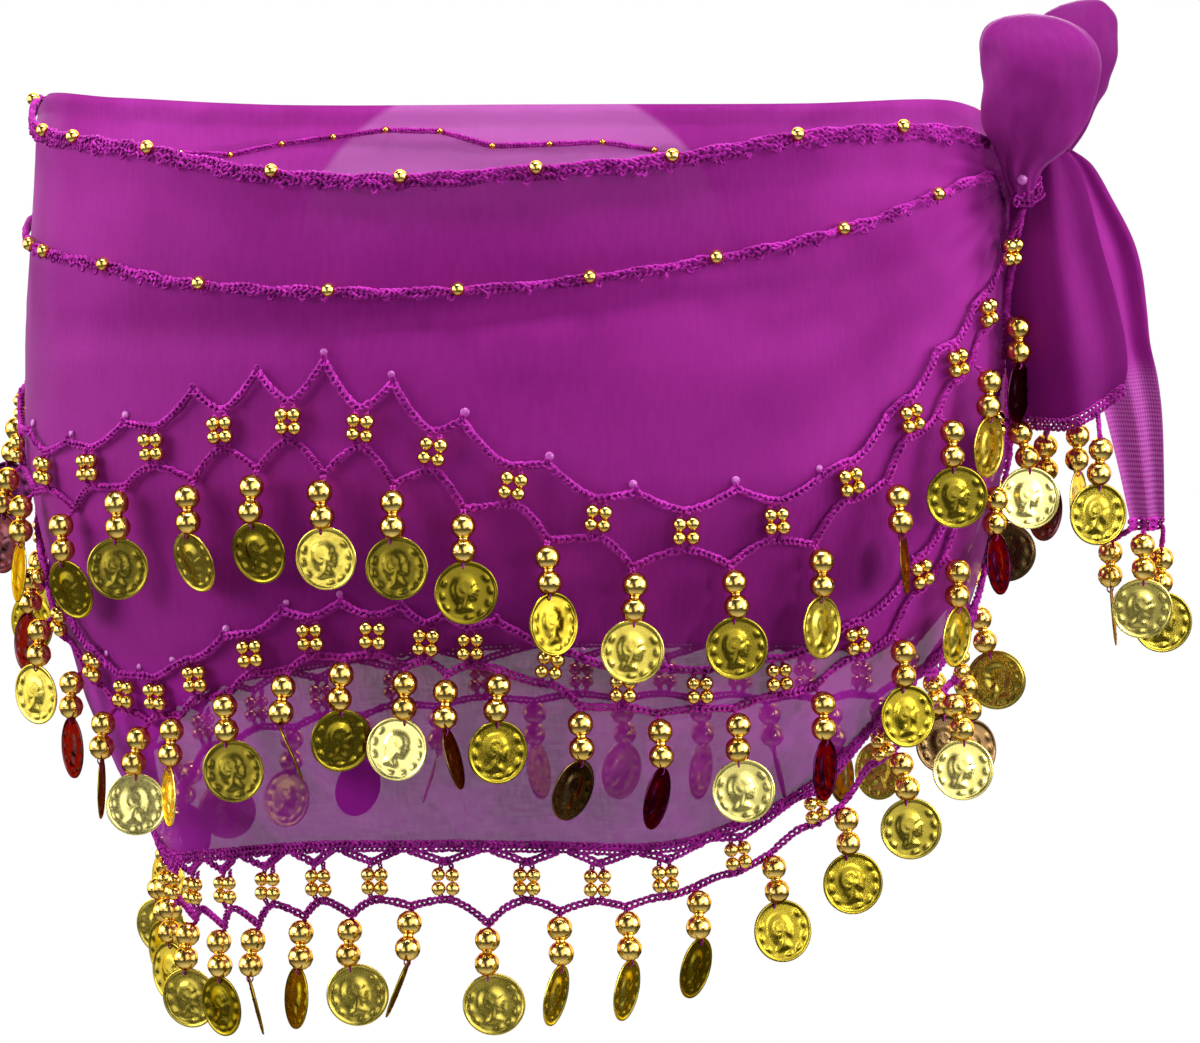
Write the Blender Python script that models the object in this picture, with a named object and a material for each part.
"""A belly dance hip scarf as it is worn, hollow, tied in a bow over the wearer's left hip.

Blender script, metres, +Z up, front towards -Y. The origin is the middle of the wearer's waist
at the scarf's upper edge, where the body holds it. Sizes in the tables are in millimetres and
degrees. An angle runs round the hips from 0 at the middle of the front towards +X; -180 is the
middle of the back, and -282 meets +78 again at the knot.
"""

import math

import bmesh
import bpy
from mathutils import Vector

MM = 0.001

# ---- driving sizes, in millimetres
CLOTH_WALL = 1.2
SEAM_HALF_GAP = 0.2
SEAM_ANGLE = -95.0
HIP_ROUNDNESS = 2.2
CLOTH_COLUMNS = 32
CLOTH_ROWS = 8

BRAID_INNER, BRAID_OUTER = 0.8, 2.6
EDGING_WIDTH = 4.0
BAND_WIDTH = 3.6

STRAND_INNER, STRAND_OUTER = 1.1, 3.4
NODE_HALF = 1.7
CLUSTER_HALF_WIDTH = 5.2
CLUSTER_HALF_HEIGHT = 4.6
CLUSTER_OUTER = 5.7
CLUSTER_TILT = 0.6
CLUSTER_SHIFT = 0.16
HEM_STRIP_WIDTH, HEM_STRIP_OVER, HEM_STRIP_OUTER = 4.0, 0.8, 3.2
HEM_NET_CLEARANCE = 2.6
HEM_CORNER_CLEARANCE = 1.5
HEM_DROP_BELOW = 6.0

BEAD_RADIUS = 4.0
BEAD_NECK = 1.3
COIN_RADIUS = 10.8
COIN_SIDES = 8
COIN_HALF_WALL = 0.5
ROW_DROP_LIFT = 7.2
HEM_DROP_LIFT = 4.2
SWING_FREE = 5.0

KNOT_ANGLE, KNOT_HEIGHT = 78.0, -21.0
KNOT_PULL = 8.0
KNOT_PULL_ACROSS, KNOT_PULL_DOWN = 34.0, 46.0
KNOT_CENTRE = (177.9, -33.0, -20.0)
KNOT_RADII = (11.6, 14.0, 16.0)
KNOT_GROOVE = 0.035
FRONT_BRAID_END, BACK_BRAID_END = 68.5, -277.0
MM_PER_DEGREE = 2.45

# ---- the hips that the scarf rests on: height, half width, half depth
HIP_SECTIONS = (
    (60, 158, 108),
    (0, 166, 113),
    (-80, 171, 118),
    (-118, 171, 118),
    (-150, 165, 115),
    (-174, 160, 112),
    (-203, 151, 107),
    (-229, 140, 101),
    (-253, 125, 94),
    (-300, 108, 86),
)

# ---- upper edge: angle, height
TOP_EDGE = (
    (-284, -9),
    (-272, -4),
    (-247, 2.4),
    (-215, -0.5),
    (-189, -1.4),
    (-153, -1.4),
    (-120, 3),
    (-98, 6),
    (-90, 2.5),
    (-76, -3.4),
    (-62, -5.4),
    (-45, -8),
    (-26, -15),
    (-11, -16.5),
    (2, -13.5),
    (17, -9.5),
    (33, -3),
    (51, -1.5),
    (64, -4),
    (72, -9),
)

# ---- lower beaded braid: angle, height
BAND_LINE = (
    (-281, -22),
    (-265, -21),
    (-240, -19),
    (-195, -16),
    (-177, -15),
    (-158, -12.5),
    (-143, -15),
    (-125, -21),
    (-105, -32),
    (-86, -39.5),
    (-71, -44),
    (-53, -47),
    (-36, -52),
    (-19, -53.5),
    (-5, -53),
    (7, -49),
    (22, -42.5),
    (39, -34),
    (58, -23),
    (69, -18),
)

# ---- cloth stations from the left seam to the knot: top angle, hem angle, hem height
FRONT_STATIONS = (
    (-95, -95, -248.5),
    (-85, -85, -253.5),
    (-75, -75, -255.5),
    (-65, -65, -255),
    (-55, -55, -252),
    (-45, -45, -249),
    (-35, -35, -246),
    (-25, -25, -243.8),
    (-14, -14, -242.8),
    (-4, -4, -242.5),
    (6, 6, -242.8),
    (15, 15, -244),
    (24, 24.5, -242.5),
    (32, 34, -235.5),
    (40, 43, -225),
    (47, 50.5, -209.5),
    (52.5, 57.5, -193),
    (57, 65.5, -184.5),
    (61, 73, -177),
    (64, 79, -165),
    (66.3, 82.5, -143),
    (68, 84, -113),
    (69.4, 83.5, -80),
    (70.2, 78.5, -49),
)
BACK_STATIONS = (
    (-95, -95, -248.5),
    (-105, -105, -238),
    (-117, -117, -223),
    (-128, -128, -212),
    (-150, -150, -206),
    (-176, -176, -200),
    (-204, -204, -198),
    (-230, -231, -195),
    (-243, -247, -184),
    (-253, -257, -160),
    (-261, -264, -128),
    (-268, -268, -95),
    (-273, -271, -66),
    (-276.5, -275.5, -37),
)

# ---- net rows, one line for each drop: angle, height of the net's peak, height of the drop's
# top, and the way the coin faces (0 is the front, 90 is +X)
ROW_1_FRONT = (
    (-89, -98, -124, -50),
    (-74, -108, -130, -72),
    (-60, -109, -133.5, -45),
    (-47.5, -101, -123.5, -8),
    (-36, -88.5, -120, -50),
    (-27.2, -81.5, -115.6, -32),
    (-19, -77.5, -116.7, -16),
    (-11.3, -84.5, -119.6, -10),
    (-4.2, -97, -127.5, 6),
    (3.1, -111.5, -138, 42),
    (12, -121, -147.5, 5),
    (23.7, -120.5, -147.3, 10),
    (34.8, -117.5, -141.5, 52),
    (45.2, -98, -121, 80),
    (54.8, -78, -100.5, 8),
    (64, -64.5, -85, 58),
    (73.3, -47, -68, 66),
)
ROW_2_FRONT = (
    (-92, -141, -160, -60),
    (-80, -157, -174.5, -42),
    (-69, -173, -190, -65),
    (-61, -185, -202, 88),
    (-53, -188, -205.6, -6),
    (-45, -184, -201, -74),
    (-34.8, -172, -191, -10),
    (-25.7, -162, -183, -85),
    (-18.3, -158.5, -178.3, 18),
    (-11, -159.5, -181, -16),
    (-6.4, -162, -183.5, 80),
    (-1.2, -164, -181.5, 22),
    (6.9, -177, -194.5, 52),
    (16.2, -180.5, -197.5, 66),
    (26.6, -179.5, -196.5, 2),
    (38.5, -174, -190.7, 66),
    (51, -157.5, -175, 28),
    (60.3, -131.5, -149.3, 60),
    (67.8, -107, -126, 65),
    (74.8, -83.5, -104.5, 4),
)
HEM_FRONT = (
    (-91, -267, -55),
    (-80.5, -273, -50),
    (-69.5, -279, -25),
    (-56.5, -278.5, -48),
    (-45.5, -275.6, -82),
    (-34, -270.8, -66),
    (-24.7, -269, 0),
    (-14.3, -265, 84),
    (-3, -270.8, 0),
    (6.1, -266.6, 68),
    (16.3, -265.5, 66),
    (27.7, -259, 60),
    (40.8, -249, 24),
    (52.4, -234.2, 15),
    (61, -216.6, 6),
    (73.5, -199, 2),
    (81, -181, 36),
)
# ---- the same rows round the back, evenly spaced: angle, peak height, drop height
ROW_1_BACK = (
    (-258, -47, -73),
    (-245, -52, -78),
    (-215, -55, -82),
    (-180, -56, -83),
    (-140, -59, -86),
    (-118, -68, -95),
    (-101, -82, -109),
)
ROW_2_BACK = (
    (-254, -108, -132),
    (-238, -114, -139),
    (-215, -116, -141),
    (-180, -116, -141),
    (-140, -119, -144),
    (-118, -125, -150),
    (-101, -134, -156),
)
HEM_DROP = 22.0
BACK_ROW_SPANS = ((-258, 15), (-254, 14), (-262, 15))
BACK_TURNS = (16, -22, 6, -12, 24, -6, 12, -18)
BACK_ROW_LAST = -101.0

# ---- soft drag creases: angle and height of both ends, depth, half width
CREASES = (
    (-84, -78, 10, -60, 1.6, 7),
    (-8, -57, 56, -40, 1.8, 8),
    (30, -72, 70, -30, 2.4, 8),
    (22, -118, 74, -34, 2.2, 10),
    (48, -150, 79, -40, 2.6, 9),
    (20, -16, 66, -8, 1.6, 6),
    (-2, -254, -12, -222, 1.8, 8),
    (28, -240, 44, -196, 2.0, 9),
    (-60, -250, -40, -205, 2.0, 10),
    (-120, -180, -100, -60, 2.2, 12),
    (-150, -190, -156, -90, 2.0, 12),
    (-186, -185, -180, -80, 1.8, 12),
    (-216, -190, -206, -70, 2.0, 12),
    (-240, -175, -272, -34, 2.4, 9),
    (-222, -120, -270, -28, 2.2, 9),
    (-205, -60, -268, -22, 1.8, 8),
)

# ---- tails: height, left, right, depth position, pleat depth
TAIL_FRONT = (
    (-15, 173, 192, -49, 0.4),
    (-38, 179, 199, -46.3, 1.2),
    (-60, 180.5, 207, -42, 2.4),
    (-76, 181, 210.5, -41, 2.8),
    (-92, 180, 210.5, -41, 2.8),
    (-104, 178, 207, -42, 2.6),
)
TAIL_BACK = (
    (-19, 187.8, 199, -25.3, 0.3),
    (-31, 190, 206, -23.5, 0.9),
    (-49, 194, 213, -22, 1.8),
    (-72, 197.5, 218.5, -20, 2.2),
    (-99, 200.5, 223.2, -19, 2.4),
    (-124, 204, 225.2, -18, 2.4),
    (-140, 206, 225.6, -18, 2),
)
TAIL_PLEATS = 2.25
TAIL_COLUMNS = 16
TAIL_STRIP, TAIL_STRIP_GAP = 3.2, 0.6

# ---- drops on the tails: share of the width, height of the top, facing, how far forward
TAIL_FRONT_DROPS = (
    (0.18, -110, 52, -14.5),
    (0.55, -106, 70, -9),
    (0.76, -109, 20, 6),
)
TAIL_BACK_DROPS = (
    (0.08, -149, 84, -9),
    (0.6, -145, 0, 4),
    (0.97, -151, 10, -5.5),
)

# ---- loops of the bow: depth, height, left, right, and how far the edges turn in
LOOP_FRONT = (
    (-50.9, -33, 171.5, 177.5, 0),
    (-52.1, -27, 168.5, 178, 2),
    (-58, -15, 165.6, 179, 6),
    (-64, -3, 160, 190, 12),
    (-67, 10, 158, 197.5, 16),
    (-66, 24, 157.5, 195, 15),
    (-59, 33.5, 162, 188, 6),
    (-51, 36.8, 166, 181, 0),
    (-43.5, 33, 162, 188, -3),
    (-39.5, 22, 158, 194, -6),
    (-38.5, 8, 160, 192, -5),
    (-38.5, -4.4, 172, 184, -1),
)
LOOP_BACK = (
    (-27, -4, 179, 190, 0),
    (-30.5, 5, 177, 200, 3),
    (-32, 16.5, 178, 205, 5),
    (-30, 28, 181, 206.5, 5),
    (-25, 36, 186, 205, 2),
    (-19, 39, 191, 203, 0),
    (-13, 36, 186, 205, -2),
    (-8, 25.5, 181, 206, -4),
    (-7, 11, 179, 204, -4),
    (-10, -0.5, 180, 198, -3),
    (-20.5, -11.8, 181.5, 191.5, -1),
)
LOOP_COLUMNS = 8
LOOP_CURVE = 2.4


def clear_scene():
    for thing in list(bpy.data.objects):
        bpy.data.objects.remove(thing, do_unlink=True)


def cubic(before, start, end, after, share):
    """Catmull-Rom value between start and end."""
    square, cube = share * share, share**3
    return 0.5 * (
        2 * start
        + (end - before) * share
        + (2 * before - 5 * start + 4 * end - after) * square
        + (3 * start - before - 3 * end + after) * cube
    )


def along(table, column, place):
    """A column's value at a place counted in rows, on a smooth curve through the rows."""
    place = min(max(place, 0.0), len(table) - 1.0)
    row = min(int(place), len(table) - 2)
    last = len(table) - 1
    rows = (max(row - 1, 0), row, row + 1, min(row + 2, last))
    return cubic(*(table[i][column] for i in rows), place - row)


def place_of(table, key):
    """Where a rising first column reaches key, counted in rows."""
    for row in range(len(table) - 1):
        if key <= table[row + 1][0]:
            break
    low, high = table[row][0], table[row + 1][0]
    return row + min(max((key - low) / (high - low), 0.0), 1.0)


def between(table, column, key):
    """Straight interpolation between rows; the first column may rise or fall."""
    rising = table[-1][0] > table[0][0]
    for low, high in zip(table, table[1:]):
        if (key <= high[0]) if rising else (key >= high[0]):
            break
    share = min(max((key - low[0]) / (high[0] - low[0]), 0.0), 1.0)
    return low[column] + (high[column] - low[column]) * share


def line_height(table, angle):
    return along(table, 1, place_of(table, angle))


def knot_pull(angle, height):
    """How far the cloth stands off the hips on its way into the knot."""
    turn = (angle - KNOT_ANGLE + 180) % 360 - 180
    across = turn * MM_PER_DEGREE / KNOT_PULL_ACROSS
    down = (height - KNOT_HEIGHT) / KNOT_PULL_DOWN
    return KNOT_PULL * math.exp(-across * across - down * down)


def hip_frame(angle, height):
    """The point on the hips, its outward normal and the level tangent towards +angle."""
    half_width = between(HIP_SECTIONS, 1, height)
    half_depth = between(HIP_SECTIONS, 2, height)
    sine, cosine = math.sin(math.radians(angle)), math.cos(math.radians(angle))
    power = 2 / HIP_ROUNDNESS
    x = half_width * math.copysign(abs(sine) ** power, sine)
    y = -half_depth * math.copysign(abs(cosine) ** power, cosine)
    slope = HIP_ROUNDNESS - 1
    normal = Vector(
        (
            math.copysign(abs(x / half_width) ** slope / half_width, x),
            math.copysign(abs(y / half_depth) ** slope / half_depth, y),
            0,
        )
    ).normalized()
    point = Vector((x, y, height)) + normal * knot_pull(angle, height)
    return point, normal, Vector((-normal.y, normal.x, 0))


def on_hip(angle, height, lift):
    point, normal, _ = hip_frame(angle, height)
    return point + normal * lift


def trough(angle, height):
    """How far the creases sink the cloth below the smooth form."""
    sunk = 0.0
    for angle_0, height_0, angle_1, height_1, depth, half_width in CREASES:
        run = Vector(((angle_1 - angle_0) * MM_PER_DEGREE, height_1 - height_0))
        here = Vector(((angle - angle_0) * MM_PER_DEGREE, height - height_0))
        share = min(max(here.dot(run) / run.length_squared, 0.0), 1.0)
        away = (here - run * share).length / half_width
        sunk += depth * math.sin(math.pi * (0.08 + 0.84 * share)) * math.exp(-away * away)
    return sunk


def principled(name, colour, roughness, metallic=0.0):
    material = bpy.data.materials.new(name)
    material.use_nodes = True
    shader = material.node_tree.nodes["Principled BSDF"]
    shader.inputs["Base Color"].default_value = (*colour, 1.0)
    shader.inputs["Roughness"].default_value = roughness
    shader.inputs["Metallic"].default_value = metallic
    return material


CHIFFON = (0.25, 0.02, 0.20)
CROCHET = (0.20, 0.012, 0.16)
GOLD = (0.80, 0.55, 0.12)


class Shell:
    """A closed body of walls. Its places are in millimetres, and most points come in pairs,
    one on the wall's outer face and its partner on the inner one."""

    def __init__(self):
        self.mesh = bmesh.new()
        self.partner = {}

    def point(self, place):
        return self.mesh.verts.new(Vector(place) * MM)

    def pair(self, outer, inner):
        first = self.point(outer)
        self.partner[first] = self.point(inner)
        return first

    def faces(self, *corners):
        """A fan of triangles over corners that run anticlockwise seen from outside."""
        for second, third in zip(corners[1:], corners[2:]):
            self.mesh.faces.new((corners[0], second, third))

    def cell(self, *corners):
        """A piece of wall over outer points that run anticlockwise seen from outside."""
        self.faces(*corners)
        for second, third in zip(corners[1:], corners[2:]):
            inner = (self.partner[corner] for corner in (corners[0], third, second))
            self.mesh.faces.new(tuple(inner))

    def bridge(self, upper, lower):
        """Faces between two rings of four that run clockwise seen from above."""
        for corner in range(4):
            following = (corner + 1) % 4
            self.faces(upper[corner], upper[following], lower[following], lower[corner])

    def close_rims(self):
        """Narrow faces from every open outer edge to the inner edge beside it."""
        for edge in [edge for edge in self.mesh.edges if edge.is_boundary]:
            loop = edge.link_loops[0]
            start, end = loop.vert, loop.link_loop_next.vert
            if start in self.partner and end in self.partner:
                self.faces(end, start, self.partner[start], self.partner[end])

    def finish(self, name, material):
        self.close_rims()
        data = bpy.data.meshes.new(name)
        self.mesh.to_mesh(data)
        self.mesh.free()
        data.materials.append(material)
        thing = bpy.data.objects.new(name, data)
        bpy.context.scene.collection.objects.link(thing)
        data.shade_smooth()
        data.set_sharp_from_angle(angle=math.radians(40))
        return thing


def grid(shell, columns, rows, corner):
    """A wall over a grid; corner(column, row) gives its outer and inner point, row 0 on top."""
    points = [[shell.pair(*corner(c, r)) for r in range(rows + 1)] for c in range(columns + 1)]
    for c in range(columns):
        for r in range(rows):
            shell.cell(points[c][r], points[c][r + 1], points[c + 1][r + 1], points[c + 1][r])
    return points


# ---- cloth


def cloth_place(stations, column, row):
    """Angle and height on the cloth; column and row run from 0 to 1, from the left and the top."""
    place = column * (len(stations) - 1)
    top_angle = along(stations, 0, place)
    hem_angle = along(stations, 1, place)
    hem_height = along(stations, 2, place)
    top_height = line_height(TOP_EDGE, top_angle)
    angle = top_angle + (hem_angle - top_angle) * row
    return angle, top_height + (hem_height - top_height) * row


def cloth_panel(name, stations, material, seam_side):
    """A panel from the seam to the knot, drawn up to it; seam_side is +1 right of the seam."""
    gap = seam_side * SEAM_HALF_GAP / MM_PER_DEGREE

    def corner(column, row):
        share = column / CLOTH_COLUMNS
        if seam_side < 0:
            share = 1 - share
        angle, height = cloth_place(stations, share, row / CLOTH_ROWS)
        angle += gap
        sunk = trough(angle, height)
        return on_hip(angle, height, -sunk), on_hip(angle, height, -sunk - CLOTH_WALL)

    shell = Shell()
    grid(shell, CLOTH_COLUMNS, CLOTH_ROWS, corner)
    return shell.finish(name, material)


def braid(name, line, span, width, material):
    """A crocheted braid laid on the cloth along a line of heights, from one angle to another."""
    first, last = span

    def corner(column, row):
        angle = first + (last - first) * column / CLOTH_COLUMNS
        height = line_height(line, angle) - width * row
        return on_hip(angle, height, BRAID_OUTER), on_hip(angle, height, BRAID_INNER)

    shell = Shell()
    grid(shell, CLOTH_COLUMNS, 1, corner)
    return shell.finish(name, material)


# ---- crocheted net with hanging coins


def net_place(angle, height, right, up, outer=STRAND_OUTER, tilt=0.0):
    """A pair of places beside a spot on the hips, with right and up turned by tilt."""
    base, normal, tangent = hip_frame(angle, height)
    turned_right = right * math.cos(tilt) - up * math.sin(tilt)
    turned_up = right * math.sin(tilt) + up * math.cos(tilt)
    place = base + tangent * turned_right + Vector((0, 0, turned_up))
    return place + normal * outer, place + normal * STRAND_INNER


def ring_of_four(shell, middle, sideways, forward, half_width, half_depth):
    """Four points round a middle, clockwise seen from above."""
    signs = ((1, 1), (-1, 1), (-1, -1), (1, -1))
    return [
        shell.point(middle + sideways * (x * half_width) + forward * (y * half_depth))
        for x, y in signs
    ]


def least_twisted(ring, lower):
    """The lower ring, begun at the corner that twists the faces between them least."""

    def twist(start):
        turned = lower[start:] + lower[:start]
        return sum((a.co - b.co).length for a, b in zip(ring, turned))

    start = min(range(4), key=twist)
    return lower[start:] + lower[:start]


def hang_drop(shell, left, right, frame, facing, lift):
    """Two beads and a coin under the wall's lower corners, left and right. frame is the place
    of the drop's top with the outward normal and the level tangent there."""
    base, normal, tangent = frame
    turn = math.radians(facing)
    sideways = Vector((math.cos(turn), math.sin(turn), 0))
    forward = Vector((math.sin(turn), -math.cos(turn), 0))
    swing = max(0.0, COIN_RADIUS * abs(tangent.dot(forward)) - SWING_FREE) if lift else 0.0

    def middle(depth, share):
        return base + normal * (lift + swing * share) - Vector((0, 0, depth))

    root = [right, left, shell.partner[left], shell.partner[right]]
    spindle = (
        (middle(BEAD_RADIUS, 0.3), BEAD_RADIUS),
        (middle(2 * BEAD_RADIUS, 0.55), BEAD_NECK),
        (middle(3 * BEAD_RADIUS, 0.8), BEAD_RADIUS),
    )
    rings = [ring_of_four(shell, at, sideways, forward, half, half) for at, half in spindle]
    shell.bridge(root, least_twisted(root, rings[0]))
    shell.bridge(rings[0], rings[1])
    shell.bridge(rings[1], rings[2])

    step = math.tau / COIN_SIDES
    centre = middle(4 * BEAD_RADIUS + COIN_RADIUS * math.cos(step / 2), 1.0)
    rim = []
    for corner in range(COIN_SIDES):
        turned = math.pi / 2 + step * (corner - 0.5)
        out = sideways * (COIN_RADIUS * math.cos(turned))
        out.z = COIN_RADIUS * math.sin(turned)
        wall = forward * COIN_HALF_WALL
        rim.append(shell.pair(centre + out + wall, centre + out - wall))
    shell.cell(*rim)
    top = [rim[0], rim[1], shell.partner[rim[1]], shell.partner[rim[0]]]
    shell.bridge(rings[2], top)


def node_places(angle, height, tilt, upside=1):
    """Where two strands meet a link: the crotch, then the link's left and right."""
    corners = ((0, upside), (-1, -upside), (1, -upside))
    return [net_place(angle, height, r * NODE_HALF, u * NODE_HALF, tilt=tilt) for r, u in corners]


def cluster_spot(first, second):
    """Angle, height and tilt of the bead cluster between two columns of the net. On a slope it
    hangs nearer the lower column."""
    height = (first[1] + first[2] + second[1] + second[2]) / 4
    rise = (second[1] + second[2] - first[1] - first[2]) / 2
    slope = math.atan2(rise, (second[0] - first[0]) * MM_PER_DEGREE)
    share = 0.5 - CLUSTER_SHIFT * math.sin(slope)
    return first[0] + (second[0] - first[0]) * share, height, CLUSTER_TILT * slope


def cluster_nodes(spot):
    """Places of the net node above a cluster and of the one below it."""
    angle, height, tilt = spot
    upper = node_places(angle, height + CLUSTER_HALF_HEIGHT, tilt)
    lower = node_places(angle, height - CLUSTER_HALF_HEIGHT, tilt, upside=-1)
    return upper, lower


def add_cluster(shell, spot):
    """A bead cluster with its two net nodes, as points of the shell."""
    upper, lower = (
        [shell.pair(*place) for place in node] for node in cluster_nodes(spot)
    )
    angle, height, tilt = spot
    sides = [
        shell.pair(*net_place(angle, height, reach, 0, CLUSTER_OUTER, tilt))
        for reach in (-CLUSTER_HALF_WIDTH, CLUSTER_HALF_WIDTH)
    ]
    shell.cell(upper[0], upper[1], upper[2])
    shell.cell(lower[0], lower[2], lower[1])
    shell.cell(upper[1], sides[0], sides[1], upper[2])
    shell.cell(sides[0], lower[1], lower[2], sides[1])
    return upper, lower


def short_of(shell, starts, places):
    """Points on the way from starts to places, stopping the seam's gap before them."""
    points = []
    for start, (outer, inner) in zip(starts, places):
        begin = start.co / MM
        share = 1 - 3 * SEAM_HALF_GAP / (outer - begin).length
        under = (shell.partner[start].co / MM).lerp(inner, share)
        points.append(shell.pair(begin.lerp(outer, share), under))
    return points


def net_row(shell, columns, before, after, lift, strip=None):
    """A row of net with its drops. Each column holds angle, peak height, drop height and
    facing, rising in angle. before and after are the columns past its ends, or None. The
    cluster next to before is this row's, and the one next to after is the next row's. strip
    gives for each column the three points of a braid that stands in for its peak."""
    neighbours = ([before] if before else []) + list(columns)
    clusters = [
        add_cluster(shell, cluster_spot(first, second))
        for first, second in zip(neighbours, neighbours[1:])
    ]
    if not before:
        clusters.insert(0, None)
    clusters.append(None)

    for index, (angle, peak, drop, facing) in enumerate(columns):
        to_left, to_right = clusters[index], clusters[index + 1]
        node = node_places(angle, drop + NODE_HALF, 0)
        crotch, left, right = (shell.pair(*place) for place in node)
        shell.cell(crotch, left, right)
        hang_drop(shell, left, right, hip_frame(angle, drop), facing, lift)
        if strip:
            top_left, middle, top_right = strip[index]
        else:
            middle = shell.pair(*net_place(angle, peak, 0, -NODE_HALF))
            top_left = top_right = shell.pair(*net_place(angle, peak, 0, NODE_HALF))
        if to_left:
            upper, lower = to_left
            shell.cell(top_left, upper[0], upper[2], middle)
            shell.cell(lower[2], lower[0], left, crotch)
        if not to_right and after:
            upper, lower = cluster_nodes(cluster_spot(columns[index], after))
            ends = short_of(shell, (top_right, middle), upper[:2])
            upper = (ends[0], ends[1])
            ends = short_of(shell, (right, crotch), lower[:2])
            to_right = upper, ends
        if to_right:
            upper, lower = to_right
            shell.cell(top_right, middle, upper[1], upper[0])
            shell.cell(crotch, right, lower[0], lower[1])


def hem_height(stations, angle):
    """The hem's height where it passes an angle, on its way from the seam to the knot."""
    low, high = 0.0, len(stations) - 4.0
    rising = stations[-4][1] > stations[0][1]
    for _ in range(40):
        middle = (low + high) / 2
        if (along(stations, 1, middle) < angle) == rising:
            low = middle
        else:
            high = middle
    return along(stations, 2, low)


def hem_strip(shell, spots):
    """The crocheted braid over the cloth's edge, through spots of angle, height and tilt from
    left to right. Returns its lower points."""
    uppers, lowers = [], []
    for angle, height, tilt in spots:
        over = net_place(angle, height, 0, HEM_STRIP_OVER, HEM_STRIP_OUTER, tilt)
        under = net_place(angle, height, 0, HEM_STRIP_OVER - HEM_STRIP_WIDTH, HEM_STRIP_OUTER, tilt)
        uppers.append(shell.pair(*over))
        lowers.append(shell.pair(*under))
    for index in range(len(spots) - 1):
        shell.cell(uppers[index], lowers[index], lowers[index + 1], uppers[index + 1])
    return lowers


def hem_past(stations, angle):
    """Spots of the braid at the cloth's own corners, from past an angle on to the knot."""
    direction = 1 if stations[-1][1] > stations[0][1] else -1
    corners = [cloth_place(stations, c / CLOTH_COLUMNS, 1) for c in range(CLOTH_COLUMNS + 1)]
    first = 0
    while (corners[first][0] - angle) * direction < HEM_CORNER_CLEARANCE:
        first += 1
    spots = []
    for index in range(first, len(corners)):
        before, after = corners[index - 1], corners[min(index + 1, CLOTH_COLUMNS)]
        run = (after[0] - before[0]) * mm_per_degree(*corners[index]) * direction
        tilt = math.atan2((after[1] - before[1]), run) * direction
        spots.append((*corners[index], tilt))
    return spots


def mm_per_degree(angle, height):
    """How far one degree is along the hips."""
    return (hip_frame(angle + 1, height)[0] - hip_frame(angle - 1, height)[0]).length / 2


def hem_slope(stations, angle):
    """The hem's rise for each millimetre along the hips."""
    rise = (hem_height(stations, angle + 2) - hem_height(stations, angle - 2)) / 4
    return rise / mm_per_degree(angle, hem_height(stations, angle))


def hem_column(stations, angle, drop, facing):
    """A column of the hem's net. Its peak height puts the clusters clear below the braid."""
    steep = math.hypot(hem_slope(stations, angle), 1)
    reach = HEM_STRIP_WIDTH - HEM_STRIP_OVER + HEM_NET_CLEARANCE + NODE_HALF + CLUSTER_HALF_HEIGHT
    cluster = hem_height(stations, angle) - reach * steep
    drop = min(drop, cluster - HEM_DROP_BELOW)
    return angle, 2 * cluster - drop, drop, facing


def hem_net(name, stations, columns, knot_spots, before, after, material):
    """The braid on the hem with its net and drops. knot_spots lead the braid up to the knot."""
    gap = SEAM_HALF_GAP / MM_PER_DEGREE

    def spot(angle, centre):
        tilt = math.atan(hem_slope(stations, centre))
        return angle, hem_height(stations, angle), tilt

    seam = SEAM_ANGLE + gap if before else SEAM_ANGLE - gap
    spots = [spot(seam, seam)] if before else list(knot_spots)
    places = []
    for angle, *_ in columns:
        half = NODE_HALF / mm_per_degree(angle, hem_height(stations, angle))
        places.append(len(spots))
        spots.extend(spot(a, angle) for a in (angle - half, angle, angle + half))
    spots.extend(knot_spots if before else [spot(seam, seam)])
    shell = Shell()
    lowers = hem_strip(shell, spots)
    strip = [lowers[place : place + 3] for place in places]
    net_row(shell, columns, before, after, HEM_DROP_LIFT, strip)
    return shell.finish(name, material)


def back_angles(row):
    """The angles of a back row's evenly spaced drops."""
    first, count = BACK_ROW_SPANS[row]
    step = (BACK_ROW_LAST - first) / (count - 1)
    return [first + step * index for index in range(count)]


def back_facing(index, angle):
    return angle + BACK_TURNS[index % len(BACK_TURNS)]


def back_columns(row, table):
    columns = []
    for index, angle in enumerate(back_angles(row)):
        peak, drop = (along(table, c, place_of(table, angle)) for c in (1, 2))
        columns.append((angle, peak, drop, back_facing(index, angle)))
    return columns


def hem_back_columns():
    columns = []
    for index, angle in enumerate(back_angles(2)):
        drop = hem_height(BACK_STATIONS, angle) - HEM_DROP
        columns.append(hem_column(BACK_STATIONS, angle, drop, back_facing(index, angle)))
    return columns


# ---- knot, bow and tails


def free_wall(shell, surface, columns, rows):
    """A wall round a surface of column and row shares; returns its points."""
    step = 1e-3

    def corner(column, row):
        u, v = column / columns, row / rows
        across = surface(min(u + step, 1), v) - surface(max(u - step, 0), v)
        down = surface(u, min(v + step, 1)) - surface(u, max(v - step, 0))
        normal = down.cross(across).normalized() * (CLOTH_WALL / 2)
        middle = surface(u, v)
        return middle + normal, middle - normal

    return grid(shell, columns, rows, corner)


def tail_surface(table):
    """Pleated cloth hanging from the knot, as a function of column and row."""

    def surface(u, v):
        place = v * (len(table) - 1)
        height, left, right, depth, pleat = (along(table, c, place) for c in range(5))
        wave = pleat * math.sin(math.tau * TAIL_PLEATS * u + 0.6 * v)
        return Vector((left + (right - left) * u, depth + wave, height))

    return surface


def tail(name, table, rows, material):
    shell = Shell()
    free_wall(shell, tail_surface(table), TAIL_COLUMNS, rows)
    return shell.finish(name, material)


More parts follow.
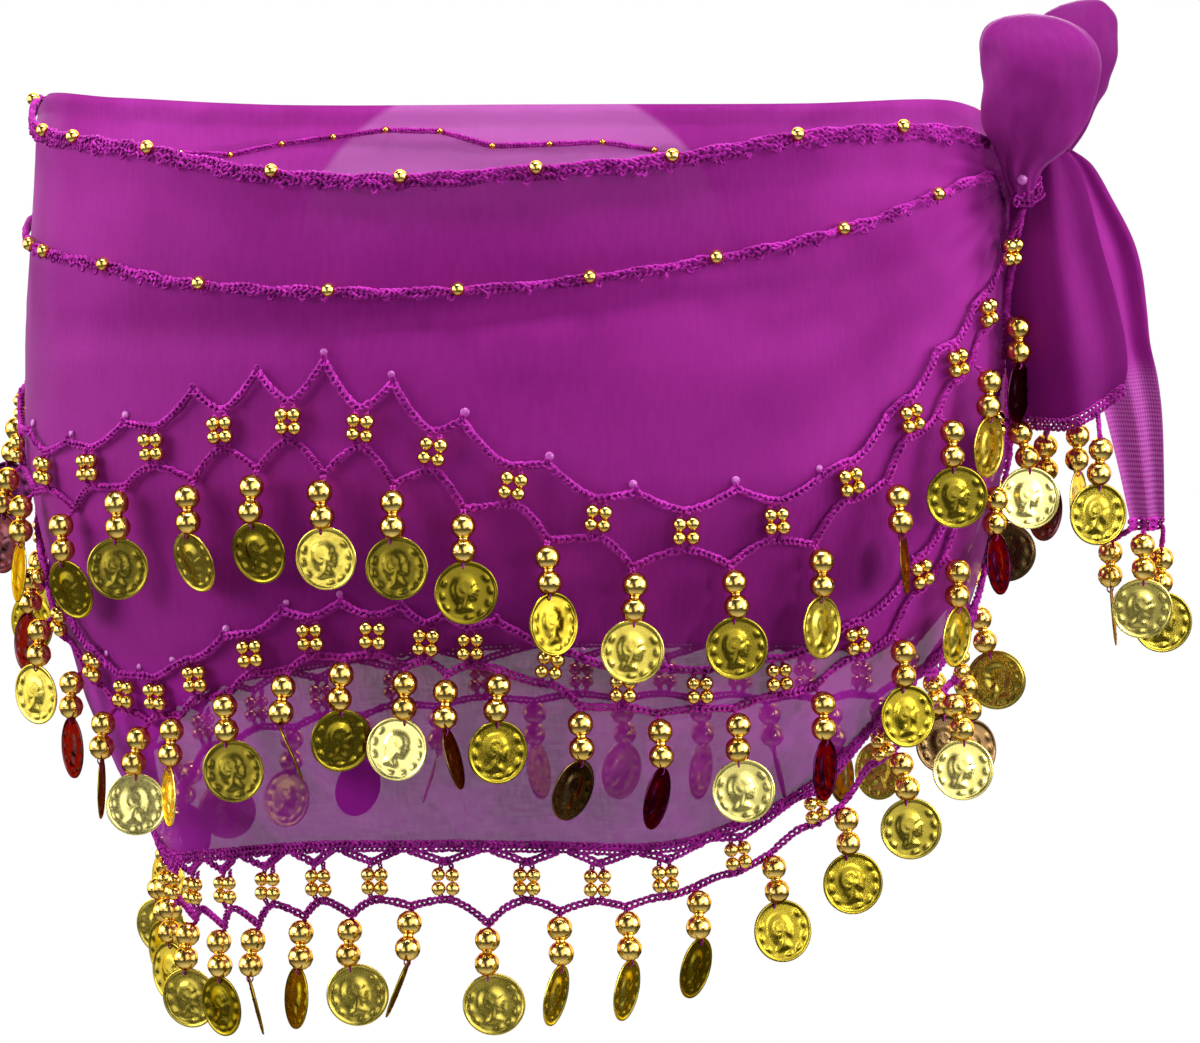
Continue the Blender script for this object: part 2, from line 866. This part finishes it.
def tail_drops(name, table, drops, material):
    """The braid under a tail's hem, parted from it, with its drops."""
    surface = tail_surface(table)

    def below(u, v):
        return surface(u, 1) - Vector((0, 0, TAIL_STRIP_GAP + v * TAIL_STRIP))

    shell = Shell()
    points = free_wall(shell, below, TAIL_COLUMNS, 1)
    for share, height, facing, ahead in drops:
        column = min(int(share * TAIL_COLUMNS), TAIL_COLUMNS - 1)
        left, right = points[column][1], points[column + 1][1]
        base = (left.co + right.co) / (2 * MM)
        base.y -= ahead
        base.z = height
        frame = base, Vector((0, -1, 0)), Vector((1, 0, 0))
        hang_drop(shell, left, right, frame, facing, 0)
    return shell.finish(name, material)


def bow_loop(name, table, material):
    """A puffed loop of cloth, open along both sides."""

    def surface(u, v):
        place = v * (len(table) - 1)
        depth, height, left, right, turn_in = (along(table, c, place) for c in range(5))
        side = 2 * u - 1
        depth += turn_in * abs(side) ** LOOP_CURVE
        return Vector((left + (right - left) * u, depth, height))

    shell = Shell()
    free_wall(shell, surface, LOOP_COLUMNS, len(table) - 1)
    return shell.finish(name, material)


def knot(material):
    """The tight knot, one solid lump with the pleats of the cloth round it."""
    mesh = bmesh.new()
    bmesh.ops.create_uvsphere(mesh, u_segments=16, v_segments=8, radius=1)
    for point in mesh.verts:
        round_it = math.atan2(point.co.z, point.co.y)
        swell = 1 - KNOT_GROOVE * (1 + math.cos(5 * round_it + 2 * point.co.x))
        for axis, radius in enumerate(KNOT_RADII):
            point.co[axis] *= radius * swell * MM
    data = bpy.data.meshes.new("knot")
    mesh.to_mesh(data)
    mesh.free()
    data.materials.append(material)
    data.shade_smooth()
    thing = bpy.data.objects.new("knot", data)
    thing.location = Vector(KNOT_CENTRE) * MM
    bpy.context.scene.collection.objects.link(thing)
    return thing


def cloth_material(name):
    return principled(name, CHIFFON, 0.62)


def crochet_material(name):
    return principled(name, CROCHET, 0.85)


def gold_material(name):
    return principled(name, GOLD, 0.25, 1.0)


def build():
    clear_scene()
    cloth_panel("cloth_front", FRONT_STATIONS, cloth_material("chiffon_front"), 1)
    cloth_panel("cloth_back", BACK_STATIONS, cloth_material("chiffon_back"), -1)

    gap = SEAM_HALF_GAP / MM_PER_DEGREE
    for part, span in (
        ("front", (SEAM_ANGLE + gap, FRONT_BRAID_END)),
        ("back", (BACK_BRAID_END, SEAM_ANGLE - gap)),
    ):
        edging = crochet_material("edging_" + part)
        band = crochet_material("band_" + part)
        braid("top_edging_" + part, TOP_EDGE, span, EDGING_WIDTH, edging)
        braid("band_" + part, BAND_LINE, span, BAND_WIDTH, band)

    rows = (
        (ROW_1_FRONT, back_columns(0, ROW_1_BACK)),
        (ROW_2_FRONT, back_columns(1, ROW_2_BACK)),
    )
    for number, (front, back) in enumerate(rows, 1):
        shell = Shell()
        net_row(shell, front, back[-1], None, ROW_DROP_LIFT)
        shell.finish(f"net_row_{number}_front", gold_material(f"row_{number}_front"))
        shell = Shell()
        net_row(shell, back, None, front[0], ROW_DROP_LIFT)
        shell.finish(f"net_row_{number}_back", gold_material(f"row_{number}_back"))

    front = [hem_column(FRONT_STATIONS, *row) for row in HEM_FRONT]
    back = hem_back_columns()
    to_knot = hem_past(FRONT_STATIONS, front[-1][0])
    from_knot = hem_past(BACK_STATIONS, back[0][0])[::-1]
    gold = gold_material("hem_front")
    hem_net("hem_net_front", FRONT_STATIONS, front, to_knot, back[-1], None, gold)
    gold = gold_material("hem_back")
    hem_net("hem_net_back", BACK_STATIONS, back, from_knot, None, front[0], gold)

    knot(cloth_material("chiffon_knot"))
    bow_loop("bow_loop_front", LOOP_FRONT, cloth_material("chiffon_loop_front"))
    bow_loop("bow_loop_back", LOOP_BACK, cloth_material("chiffon_loop_back"))
    tail("tail_front", TAIL_FRONT, 4, cloth_material("chiffon_tail_front"))
    tail("tail_back", TAIL_BACK, 5, cloth_material("chiffon_tail_back"))
    tail_drops("tail_front_drops", TAIL_FRONT, TAIL_FRONT_DROPS, gold_material("tail_front_gold"))
    tail_drops("tail_back_drops", TAIL_BACK, TAIL_BACK_DROPS, gold_material("tail_back_gold"))


build()
